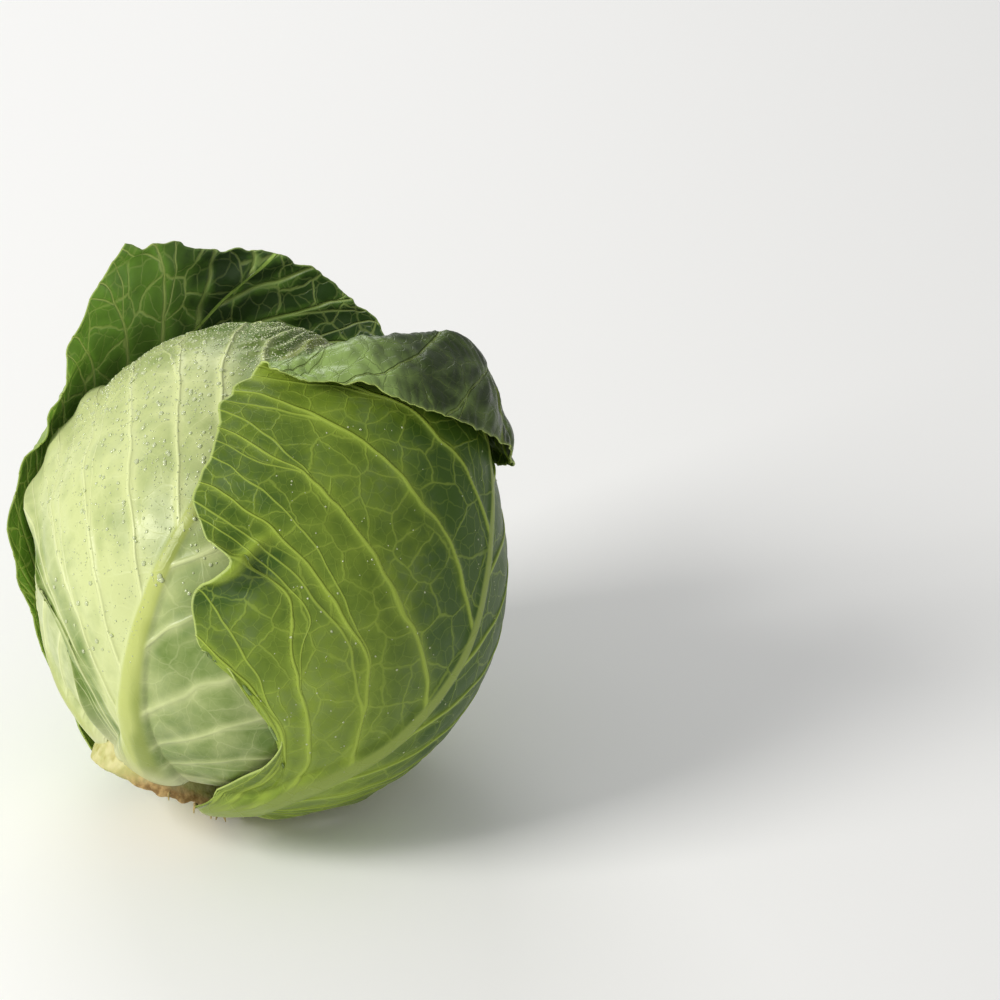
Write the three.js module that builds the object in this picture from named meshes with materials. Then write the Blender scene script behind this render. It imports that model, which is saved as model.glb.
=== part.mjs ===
// Green cabbage head, lying on its side-and-base as picked: a cut stem, a dense heart and six
// wrapper leaves. Millimetres, +Z up, origin on the surface below the middle of the head.
import * as THREE from "three";

// Head
const HEAD = 90; // radius of the closed head
const LEAN_RIGHT = 27; // degrees that the crown leans towards +X
const LEAN_BACK = 30; // degrees that it then leans towards +Y
const BASE_FLATTENING = 0.05; // share of the radius that the stem end is pressed in by
const BASE_SPREAD = 20; // degrees from the stem over which that fades
const REST_DEPTH = 1.8; // how deep the surface presses into the lowest leaf

// Leaf layers, from the heart outwards
const BLADE = 1.4; // thickness of a leaf blade
const HEART_RADIUS = 83.4;
const LAYER_RADIUS = [0, 84.9, 87.2, 89.8]; // middle of the blade in layers 1, 2 and 3
const REST_HEIGHT = [5.2, 3.6, BLADE / 2]; // lowest that heart, layer 1 and layer 2 may reach
const CENTRE_HEIGHT = LAYER_RADIUS[2] + BLADE / 2 - REST_DEPTH;

// Ribs
const RIB_BASE = { halfWidth: 15, height: 5 };
const RIB_TIP = { halfWidth: 2.4, height: 0.4 };
const RIB_FADE = 4.5; // how fast a midrib thins from base to tip
const ROWS_PER_VEIN = 3; // every third row of a leaf's mesh is the crest of a side vein
const SIDE_VEIN_HEIGHT = 0.5;

// Cut stem, measured along the head's own axis from its centre
const STEM = { radius: 24.4, cut: 86.5, top: 74.4, bevel: 1.6, sides: 36 };
const HEART_FLAT = 74; // the heart's flat underside, above the stem

// Heart: overlapping margins of its outer leaves
const HEART_LEAVES = 5;
const HEART_STEP = 1.3;
const HEART_TWIST = 70; // degrees that a margin turns round the head from stem to crown

const MESH = { rows: 24, columns: 18 };
const DEG = Math.PI / 180;

const smooth = (t) => {
  const c = Math.min(Math.max(t, 0), 1);
  return c * c * (3 - 2 * c);
};

// A point of the head's own frame (z from stem to crown) in the part's frame.
const headTurn = new THREE.Euler(-LEAN_BACK * DEG, LEAN_RIGHT * DEG, 0);
const toPart = (p) => p.applyEuler(headTurn).add(new THREE.Vector3(0, 0, CENTRE_HEIGHT));

// Direction at an angle theta from the stem and a longitude lambda round the head.
function headDirection(theta, lambda) {
  const t = theta * DEG;
  const l = lambda * DEG;
  return new THREE.Vector3(Math.sin(t) * Math.sin(l), -Math.sin(t) * Math.cos(l), -Math.cos(t));
}

// The head is a ball, pressed in a little round its stem.
function headShape(direction) {
  const theta = Math.acos(THREE.MathUtils.clamp(-direction.z, -1, 1)) / DEG;
  return 1 - BASE_FLATTENING * Math.exp(-((theta / BASE_SPREAD) ** 2));
}

// Smooth curve through knots [u, x, y], as [x, y] at u.
function along(knots, u) {
  let i = 0;
  while (i < knots.length - 2 && u > knots[i + 1][0]) i++;
  const [a, b] = [knots[i], knots[i + 1]];
  const before = knots[Math.max(i - 1, 0)];
  const after = knots[Math.min(i + 2, knots.length - 1)];
  const span = b[0] - a[0];
  const t = (u - a[0]) / span;
  return [1, 2].map((k) => {
    const slopeA = ((b[k] - before[k]) / (b[0] - before[0])) * span;
    const slopeB = ((after[k] - a[k]) / (after[0] - a[0])) * span;
    return (
      a[k] * (2 * t ** 3 - 3 * t ** 2 + 1) +
      slopeA * (t ** 3 - 2 * t ** 2 + t) +
      b[k] * (3 * t ** 2 - 2 * t ** 3) +
      slopeB * (t ** 3 - t ** 2)
    );
  });
}

// Each leaf is drawn flat, in the stereographic view of the head from its centre [theta, lambda],
// with x across and y from stem to crown: a circle of radius 1 is half the head. Its midrib and its
// two edges are knots [u, x, y] from the base at u = 0 to the top margin at u = 1. "off" says how
// many millimetres it stands off the head at x, y, and "ruffle" how much its margin waves.
const leaves = {
  leaf_front: {
    layer: 2,
    centre: [90, -21],
    colour: 0xb9cc7c,
    ribCover: 1,
    rib: [[0, 0.02, -0.735], [0.2, -0.01, -0.46], [0.4, -0.02, -0.15], [0.6, -0.01, 0.15],
      [0.75, -0.05, 0.4], [0.9, -0.1, 0.66], [1, -0.1, 0.84]],
    left: [[0, -0.1, -0.72], [0.05, -0.17, -0.55], [0.09, -0.22, -0.41], [0.13, -0.3, -0.31],
      [0.18, -0.41, -0.26], [0.24, -0.55, -0.17], [0.3, -0.68, -0.06], [0.4, -0.72, 0.12],
      [0.52, -0.75, 0.33], [0.65, -0.73, 0.52], [0.8, -0.56, 0.7], [0.92, -0.36, 0.8], [1, -0.24, 0.84]],
    right: [[0, 0.16, -0.73], [0.08, 0.32, -0.64], [0.16, 0.43, -0.5], [0.26, 0.55, -0.33],
      [0.38, 0.67, -0.1], [0.5, 0.74, 0.14], [0.65, 0.72, 0.4], [0.82, 0.5, 0.66], [1, 0.08, 0.84]],
    off: (x, y, edge) =>
      6 * smooth((y - 0.1) / 0.4) * smooth(-x / 0.35) +
      5 * edge * smooth((-x - 0.5) / 0.2) * smooth((0.4 - y) / 0.2),
    ruffle: (u, v, edge) => 2.5 * edge * smooth((-v - 0.5) / 0.3) * smooth((0.7 - u) / 0.2),
    waves: 9,
  },
  leaf_right: {
    layer: 3,
    centre: [90, 57],
    colour: 0x7f9f45,
    ribCover: 1,
    rib: [[0, -0.08, -0.735], [0.15, -0.08, -0.45], [0.3, -0.01, -0.18], [0.45, 0.03, 0.08],
      [0.6, 0.02, 0.36], [0.8, 0, 0.72], [1, -0.02, 1.05]],
    left: [[0, -0.15, -0.72], [0.05, -0.21, -0.52], [0.08, -0.22, -0.42], [0.11, -0.26, -0.335],
      [0.15, -0.38, -0.3], [0.19, -0.49, -0.265], [0.23, -0.58, -0.26], [0.27, -0.63, -0.21],
      [0.3, -0.68, -0.13], [0.335, -0.645, -0.01], [0.37, -0.72, 0.02], [0.41, -0.8, 0.08],
      [0.48, -0.825, 0.2], [0.58, -0.82, 0.4], [0.7, -0.79, 0.58], [0.82, -0.68, 0.7], [1, -0.56, 0.87]],
    right: [[0, 0.06, -0.73], [0.08, 0.2, -0.55], [0.18, 0.34, -0.33], [0.3, 0.52, -0.08],
      [0.42, 0.66, 0.16], [0.55, 0.74, 0.38], [0.7, 0.72, 0.56], [0.85, 0.54, 0.66], [1, 0.36, 0.74]],
    off: (x, y, edge) =>
      18 * smooth((y - 0.14) / 0.54) * smooth((x + 0.62) / 0.62) * (1 - 0.95 * smooth((x + 0.12) / 0.4)) +
      2.8 * edge * smooth((-x - 0.3) / 0.3) * smooth((y + 0.35) / 0.2) +
      5 * edge * smooth(1 - Math.hypot((x + 0.66) / 0.12, (y + 0.02) / 0.12)) +
      1.5 * edge * smooth((x - 0.3) / 0.2),
    ruffle: (u, v, edge) => 1.2 * edge * (v > 0 ? 1.5 : 0.7),
    waves: 11,
    crease: { y: 0.68, radius: 5.6, turn: 186 },
    squareTop: true,
    rows: 30,
  },
  leaf_back: {
    layer: 3,
    centre: [95, -130],
    colour: 0x3f7034,
    ribCover: 1,
    rib: [[0, 0.02, -0.79], [0.25, 0.02, -0.46], [0.5, 0.03, -0.1], [0.75, 0.05, 0.24], [1, 0.03, 0.545]],
    left: [[0, -0.1, -0.77], [0.12, -0.26, -0.52], [0.25, -0.42, -0.27], [0.4, -0.56, 0],
      [0.55, -0.64, 0.26], [0.7, -0.62, 0.48], [0.85, -0.46, 0.64], [1, -0.25, 0.66]],
    right: [[0, 0.1, -0.77], [0.12, 0.14, -0.56], [0.25, 0.21, -0.36], [0.4, 0.31, -0.2],
      [0.55, 0.36, -0.03], [0.7, 0.35, 0.12], [0.85, 0.32, 0.25], [1, 0.28, 0.37]],
    off: (x, y, edge) =>
      HEAD * (0.085 * smooth((x - 0.05) / 0.25) * smooth((y + 0.38) / 0.3) +
        1.22 * Math.exp(3 * x) * Math.max(y, 0) ** 2) +
      4 * edge * smooth((-x - 0.3) / 0.2),
    ruffle: (u, v, edge) => 3 * edge * smooth((u - 0.2) / 0.3),
    waves: 8,
  },
  leaf_left: {
    layer: 1,
    centre: [90, -86],
    colour: 0xc3d48c,
    ribCover: 0.35,
    rib: [[0, 0.02, -0.73], [0.5, 0, -0.05], [1, 0.02, 0.6]],
    left: [[0, -0.1, -0.72], [0.2, -0.36, -0.5], [0.45, -0.58, -0.05], [0.7, -0.56, 0.32], [1, -0.2, 0.6]],
    right: [[0, 0.12, -0.72], [0.2, 0.42, -0.48], [0.45, 0.58, -0.05], [0.7, 0.56, 0.32], [1, 0.2, 0.6]],
    off: () => 0,
    ruffle: () => 0,
    waves: 0,
  },
  leaf_rear: {
    layer: 2,
    centre: [90, 163],
    colour: 0x9ab765,
    ribCover: 0.8,
    rib: [[0, 0.02, -0.735], [0.5, -0.01, -0.05], [1, 0.02, 0.6]],
    left: [[0, -0.12, -0.72], [0.1, -0.32, -0.6], [0.22, -0.38, -0.42], [0.4, -0.5, -0.12],
      [0.6, -0.52, 0.2], [0.8, -0.42, 0.46], [1, -0.18, 0.6]],
    right: [[0, 0.12, -0.72], [0.2, 0.4, -0.46], [0.45, 0.56, -0.03], [0.7, 0.54, 0.34], [1, 0.2, 0.62]],
    off: () => 0,
    ruffle: () => 0,
    waves: 0,
  },
  leaf_far_right: {
    layer: 1,
    centre: [90, 98],
    colour: 0xaec674,
    ribCover: 0.35,
    rib: [[0, 0, -0.73], [0.5, 0.02, -0.05], [1, 0, 0.6]],
    left: [[0, -0.12, -0.72], [0.2, -0.42, -0.48], [0.45, -0.58, -0.05], [0.7, -0.56, 0.32], [1, -0.2, 0.6]],
    right: [[0, 0.12, -0.72], [0.2, 0.38, -0.48], [0.45, 0.56, -0.05], [0.7, 0.54, 0.32], [1, 0.2, 0.6]],
    off: () => 0,
    ruffle: () => 0,
    waves: 0,
  },
};

// Rolls the sheet outwards over its crease and back down over its own outer face. The roll is tighter
// at both ends of the crease.
function rollOver(crease, x, y) {
  const scale = (2 * HEAD) / (1 + x * x + crease.y ** 2); // millimetres to a unit of the plane
  const beyond = (y - crease.y) * scale;
  if (beyond <= 0) return { y, height: 0 };
  const radius = crease.radius * (0.25 + 0.75 * smooth((x + 0.7) / 0.35)) * (1 - 0.5 * smooth(x / 0.4));
  const turned = Math.min(beyond / radius, crease.turn * DEG);
  const straight = beyond - turned * radius;
  const forward = radius * Math.sin(turned) + straight * Math.cos(turned);
  const height = radius * (1 - Math.cos(turned)) + straight * Math.sin(turned);
  return { y: crease.y + forward / scale, height };
}

// Middle of the blade at u along the leaf and v across it, from -1 at its left edge to 1.
function leafPoint(leaf, u, v) {
  const [ribX, ribY] = along(leaf.rib, u);
  const [edgeX, edgeY] = along(v < 0 ? leaf.left : leaf.right, u);
  const s = Math.abs(v);
  const x = ribX + (edgeX - ribX) * (0.9 * s + 0.1 * s * s);
  const square = leaf.squareTop ? smooth((u - 0.8) / 0.2) : 0;
  const flatY = ribY + (edgeY - ribY) * THREE.MathUtils.lerp(1.24 * s - 0.24 * s * s, s ** 3, square);
  const { y, height } = leaf.crease ? rollOver(leaf.crease, x, flatY) : { y: flatY, height: 0 };
  const edge = Math.max(s ** 5, smooth((u - 0.8) / 0.2));
  const wave = 0.5 + 0.5 * Math.sin(2 * Math.PI * leaf.waves * (u + 0.25 * v));
  const off = leaf.off(x, y, edge) + leaf.ruffle(u, v, edge) * wave + height;

  const [theta, lambda] = leaf.centre;
  const out = headDirection(theta, lambda);
  const up = headDirection(theta + 90, lambda);
  const across = new THREE.Vector3(Math.cos(lambda * DEG), Math.sin(lambda * DEG), 0);
  const direction = across.multiplyScalar(2 * x).addScaledVector(up, 2 * y)
    .addScaledVector(out, 1 - x * x - y * y).normalize();
  const radius = LAYER_RADIUS[leaf.layer] * headShape(direction) + off;
  const point = toPart(direction.multiplyScalar(radius));
  if (leaf.layer < 3) point.z = Math.max(point.z, REST_HEIGHT[leaf.layer]);
  return point;
}

function leafNormal(leaf, u, v) {
  const step = 0.01;
  const du = leafPoint(leaf, Math.min(u + step, 1), v).sub(leafPoint(leaf, Math.max(u - step, 0), v));
  const dv = leafPoint(leaf, u, Math.min(v + step, 1)).sub(leafPoint(leaf, u, Math.max(v - step, -1)));
  return dv.cross(du).normalize();
}

const rowsOf = (leaf) => leaf.rows ?? MESH.rows;

// Height of the midrib and the side veins over the blade's outer face.
function ribHeight(leaf, u, v, point) {
  const thin = Math.exp(-RIB_FADE * u);
  const halfWidth = RIB_TIP.halfWidth + (RIB_BASE.halfWidth - RIB_TIP.halfWidth) * thin;
  const cover = smooth((leaf.ribCover - u) / 0.2); // flat again where other leaves lie over it
  const height = (RIB_TIP.height + (RIB_BASE.height - RIB_TIP.height) * thin) * cover;
  const sideways = point.distanceTo(leafPoint(leaf, u, 0));
  const midrib = height * Math.max(0, 1 - (sideways / halfWidth) ** 2) ** 1.5;
  const sideVeins = rowsOf(leaf) / ROWS_PER_VEIN;
  const crest = (0.5 + 0.5 * Math.cos(2 * Math.PI * sideVeins * u)) ** 3;
  return Math.max(midrib, SIDE_VEIN_HEIGHT * crest * (1 - v * v));
}

// Closed mesh from points and triangles, its faces turned outwards.
function solid(points, triangles) {
  const geometry = new THREE.BufferGeometry();
  geometry.setAttribute("position", new THREE.Float32BufferAttribute(points.flatMap((p) => p.toArray()), 3));
  geometry.setIndex(triangles.flat());
  geometry.computeVertexNormals();
  return geometry;
}

// Two triangles for each cell of a grid whose vertices go row by row.
function gridTriangles(rows, columns, at) {
  const triangles = [];
  for (let i = 0; i < rows; i++)
    for (let j = 0; j < columns; j++) {
      triangles.push([at(i, j), at(i, j + 1), at(i + 1, j + 1)]);
      triangles.push([at(i, j), at(i + 1, j + 1), at(i + 1, j)]);
    }
  return triangles;
}

function leafGeometry(leaf) {
  const rows = rowsOf(leaf);
  const { columns } = MESH;
  const outer = [];
  const inner = [];
  for (let i = 0; i <= rows; i++)
    for (let j = 0; j <= columns; j++) {
      const u = i / rows;
      const t = (2 * j) / columns - 1;
      const v = Math.sign(t) * Math.abs(t) ** 1.15; // columns crowd towards the midrib
      const point = leafPoint(leaf, u, v);
      const normal = leafNormal(leaf, u, v);
      const rib = ribHeight(leaf, u, v, point);
      const top = point.clone().addScaledVector(normal, BLADE / 2 + rib);
      top.z = Math.max(top.z, 0);
      outer.push(top);
      inner.push(point.clone().addScaledVector(normal, -BLADE / 2));
    }
  const at = (i, j) => i * (columns + 1) + j;
  const under = outer.length;
  const faces = gridTriangles(rows, columns, at);
  const backs = faces.map(([a, b, c]) => [under + a, under + c, under + b]);
  const border = [];
  for (let j = 0; j < columns; j++) border.push(at(0, j));
  for (let i = 0; i < rows; i++) border.push(at(i, columns));
  for (let j = columns; j > 0; j--) border.push(at(rows, j));
  for (let i = rows; i > 0; i--) border.push(at(i, 0));
  const walls = border.flatMap((a, k) => {
    const b = border[(k + 1) % border.length];
    return [[b, a, under + a], [b, under + a, under + b]];
  });
  return solid([...outer, ...inner], [...faces, ...backs, ...walls]);
}

// Closed surface of rings round the head's axis, from a pole at the stem end to one at the crown.
function ringsGeometry(first, rings, last) {
  const columns = rings[0].length;
  const points = [first, ...rings.flat(), last];
  const at = (i, j) => 1 + i * columns + (j % columns);
  const triangles = gridTriangles(rings.length - 1, columns, at);
  for (let j = 0; j < columns; j++) {
    triangles.push([0, at(0, j + 1), at(0, j)]);
    triangles.push([points.length - 1, at(rings.length - 1, j), at(rings.length - 1, j + 1)]);
  }
  return solid(points, triangles);
}

// The heart's outer leaves lie over each other, so its radius steps down at each leaf's margin.
function heartPoint(theta, leafShare, leafIndex) {
  const lambda = ((leafIndex + leafShare) * 360) / HEART_LEAVES + (HEART_TWIST * theta) / 180;
  const direction = headDirection(theta, lambda);
  const fade = Math.sin(theta * DEG) ** 0.5;
  const radius = (HEART_RADIUS - HEART_STEP * leafShare * fade) * headShape(direction);
  const point = direction.multiplyScalar(radius);
  point.z = Math.max(point.z, -HEART_FLAT);
  toPart(point);
  point.z = Math.max(point.z, REST_HEIGHT[0]);
  return point;
}

function heartGeometry() {
  const shares = [0, 0.14, 0.3, 0.46, 0.62, 0.78, 0.94];
  const rings = [];
  for (let theta = 12; theta <= 172; theta += 8) {
    const ring = [];
    for (let k = 0; k < HEART_LEAVES; k++) shares.forEach((share) => ring.push(heartPoint(theta, share, k)));
    rings.push(ring);
  }
  return ringsGeometry(heartPoint(0, 0, 0), rings, heartPoint(180, 0, 0));
}

// The stem's outline is uneven where outer leaves were snapped off it.
function stemGeometry() {
  const ring = (radius, depth) =>
    Array.from({ length: STEM.sides }, (_, j) => {
      const lambda = (360 * j) / STEM.sides;
      const uneven = 0.5 * Math.sin(3 * lambda * DEG + 1) + 0.3 * Math.sin(7 * lambda * DEG);
      const r = radius + (uneven * radius) / STEM.radius - 0.6;
      const x = r * Math.sin(lambda * DEG);
      const y = -r * Math.cos(lambda * DEG);
      return toPart(new THREE.Vector3(x, y, -depth));
    });
  const rings = [
    ring(STEM.radius / 2, STEM.cut - 0.5),
    ring(STEM.radius - STEM.bevel, STEM.cut),
    ring(STEM.radius, STEM.cut - STEM.bevel),
    ring(STEM.radius, (STEM.cut + STEM.top) / 2),
    ring(STEM.radius - STEM.bevel, STEM.top),
  ];
  const centre = (depth) => toPart(new THREE.Vector3(0, 0, -depth));
  return ringsGeometry(centre(STEM.cut - 1.2), rings, centre(STEM.top));
}

const cabbage = new THREE.Group();
function addPiece(name, geometry, colour, roughness) {
  const material = new THREE.MeshStandardMaterial({ color: colour, roughness, metalness: 0 });
  const mesh = new THREE.Mesh(geometry, material);
  mesh.name = name;
  cabbage.add(mesh);
}
addPiece("stem", stemGeometry(), 0xd9cf9f, 0.8);
addPiece("heart", heartGeometry(), 0xd2dea6, 0.5);
for (const [name, leaf] of Object.entries(leaves)) addPiece(name, leafGeometry(leaf), leaf.colour, 0.45);

export default cabbage;
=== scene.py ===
"""A green cabbage head lying on a pale table: cut stem, packed heart, six wrapper leaves and dew."""
import itertools
import math

import bpy
import numpy as np
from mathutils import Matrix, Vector


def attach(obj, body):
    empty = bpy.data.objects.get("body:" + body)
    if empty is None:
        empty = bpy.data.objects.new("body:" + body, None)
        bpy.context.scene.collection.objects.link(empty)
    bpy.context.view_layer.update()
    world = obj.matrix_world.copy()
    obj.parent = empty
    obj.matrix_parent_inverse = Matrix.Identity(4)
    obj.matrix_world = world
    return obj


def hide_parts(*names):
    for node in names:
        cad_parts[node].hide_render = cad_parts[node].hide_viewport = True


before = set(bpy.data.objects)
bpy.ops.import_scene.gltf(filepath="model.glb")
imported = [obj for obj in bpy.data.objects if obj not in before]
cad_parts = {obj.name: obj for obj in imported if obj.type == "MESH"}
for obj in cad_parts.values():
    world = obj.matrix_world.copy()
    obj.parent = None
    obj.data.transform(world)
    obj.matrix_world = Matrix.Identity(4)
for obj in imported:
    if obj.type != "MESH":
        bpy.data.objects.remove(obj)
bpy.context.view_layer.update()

MM = 0.001

# The head, in millimetres and degrees, as the solids have it
HEAD = 90.0
LEAN_RIGHT = 27.0
LEAN_BACK = 30.0
BASE_FLATTENING = 0.05
BASE_SPREAD = 20.0
REST_DEPTH = 1.8
BLADE = 1.4
HEART_RADIUS = 83.4
LAYER_RADIUS = [0, 84.9, 87.2, 89.8]
REST_HEIGHT = [5.2, 3.6, BLADE / 2]
CENTRE_HEIGHT = LAYER_RADIUS[2] + BLADE / 2 - REST_DEPTH
RIB_BASE = {"half_width": 15.0, "height": 5.0}
RIB_TIP = {"half_width": 2.4, "height": 0.4}
RIB_FADE = 4.5
HEART_LEAVES = 5
HEART_STEP = 1.3
HEART_TWIST = 70.0

THIN_BLADE = 0.6  # thickness of the finished blade, which shows at its margins
FLAT_SCALE = 140.0  # millimetres to a unit of a leaf's plane, on average over the leaf
CROWD_TO_RIB = 1.1  # above 1, a leaf's columns lie closer together at its midrib
HEART_BOTTOM = -72.5  # the heart ends flat above the stem, on the head's own axis


def smooth(t):
    c = np.clip(t, 0.0, 1.0)
    return c * c * (3 - 2 * c)


def length(vectors):
    return np.linalg.norm(vectors, axis=-1)


def head_axes():
    """The head's own axes in the part's frame, as rows: across, away from the camera, stem to crown."""
    right, back = math.radians(LEAN_RIGHT), math.radians(-LEAN_BACK)
    about_y = np.array([[math.cos(right), 0, math.sin(right)], [0, 1, 0], [-math.sin(right), 0, math.cos(right)]])
    about_x = np.array([[1, 0, 0], [0, math.cos(back), -math.sin(back)], [0, math.sin(back), math.cos(back)]])
    return (about_x @ about_y).T


HEAD_AXES = head_axes()


def to_part(points):
    return points @ HEAD_AXES + np.array([0, 0, CENTRE_HEIGHT])


def head_direction(theta, lam):
    """Unit vector at an angle theta from the stem and a longitude lam round the head."""
    t, l = np.radians(theta), np.radians(lam)
    return np.stack([np.sin(t) * np.sin(l), -np.sin(t) * np.cos(l), -np.cos(t)], axis=-1)


def head_shape(direction):
    """The head is a ball, pressed in a little round its stem."""
    theta = np.degrees(np.arccos(np.clip(-direction[..., 2], -1, 1)))
    return 1 - BASE_FLATTENING * np.exp(-((theta / BASE_SPREAD) ** 2))


def along(knots, u):
    """Smooth curve through knots (u, x, y): its x and y at u."""
    k = np.array(knots)
    i = np.clip(np.searchsorted(k[:, 0], u, side="left") - 1, 0, len(k) - 2)
    a, b = k[i], k[i + 1]
    before, after = k[np.maximum(i - 1, 0)], k[np.minimum(i + 2, len(k) - 1)]
    span = b[:, 0] - a[:, 0]
    t = ((u - a[:, 0]) / span)[:, None]
    slope_a = (b - before) / (b - before)[:, :1] * span[:, None]
    slope_b = (after - a) / (after - a)[:, :1] * span[:, None]
    curve = (a * (2 * t**3 - 3 * t**2 + 1) + slope_a * (t**3 - 2 * t**2 + t)
             + b * (3 * t**2 - 2 * t**3) + slope_b * (t**3 - t**2))
    return curve[:, 1], curve[:, 2]


def value_noise(points, size, seed):
    """Smooth noise from -1 to 1, with bumps about size millimetres across."""
    side = 16
    lattice = np.random.default_rng(seed).uniform(-1, 1, (side, side, side))
    q = points / size
    cell = np.floor(q).astype(int)
    t = q - cell
    t = t * t * (3 - 2 * t)
    total = np.zeros(len(points))
    for corner in itertools.product((0, 1), repeat=3):
        weight = np.prod(np.where(np.array(corner) == 1, t, 1 - t), axis=1)
        index = (cell + np.array(corner)) % side
        total += weight * lattice[index[:, 0], index[:, 1], index[:, 2]]
    return total


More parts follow.
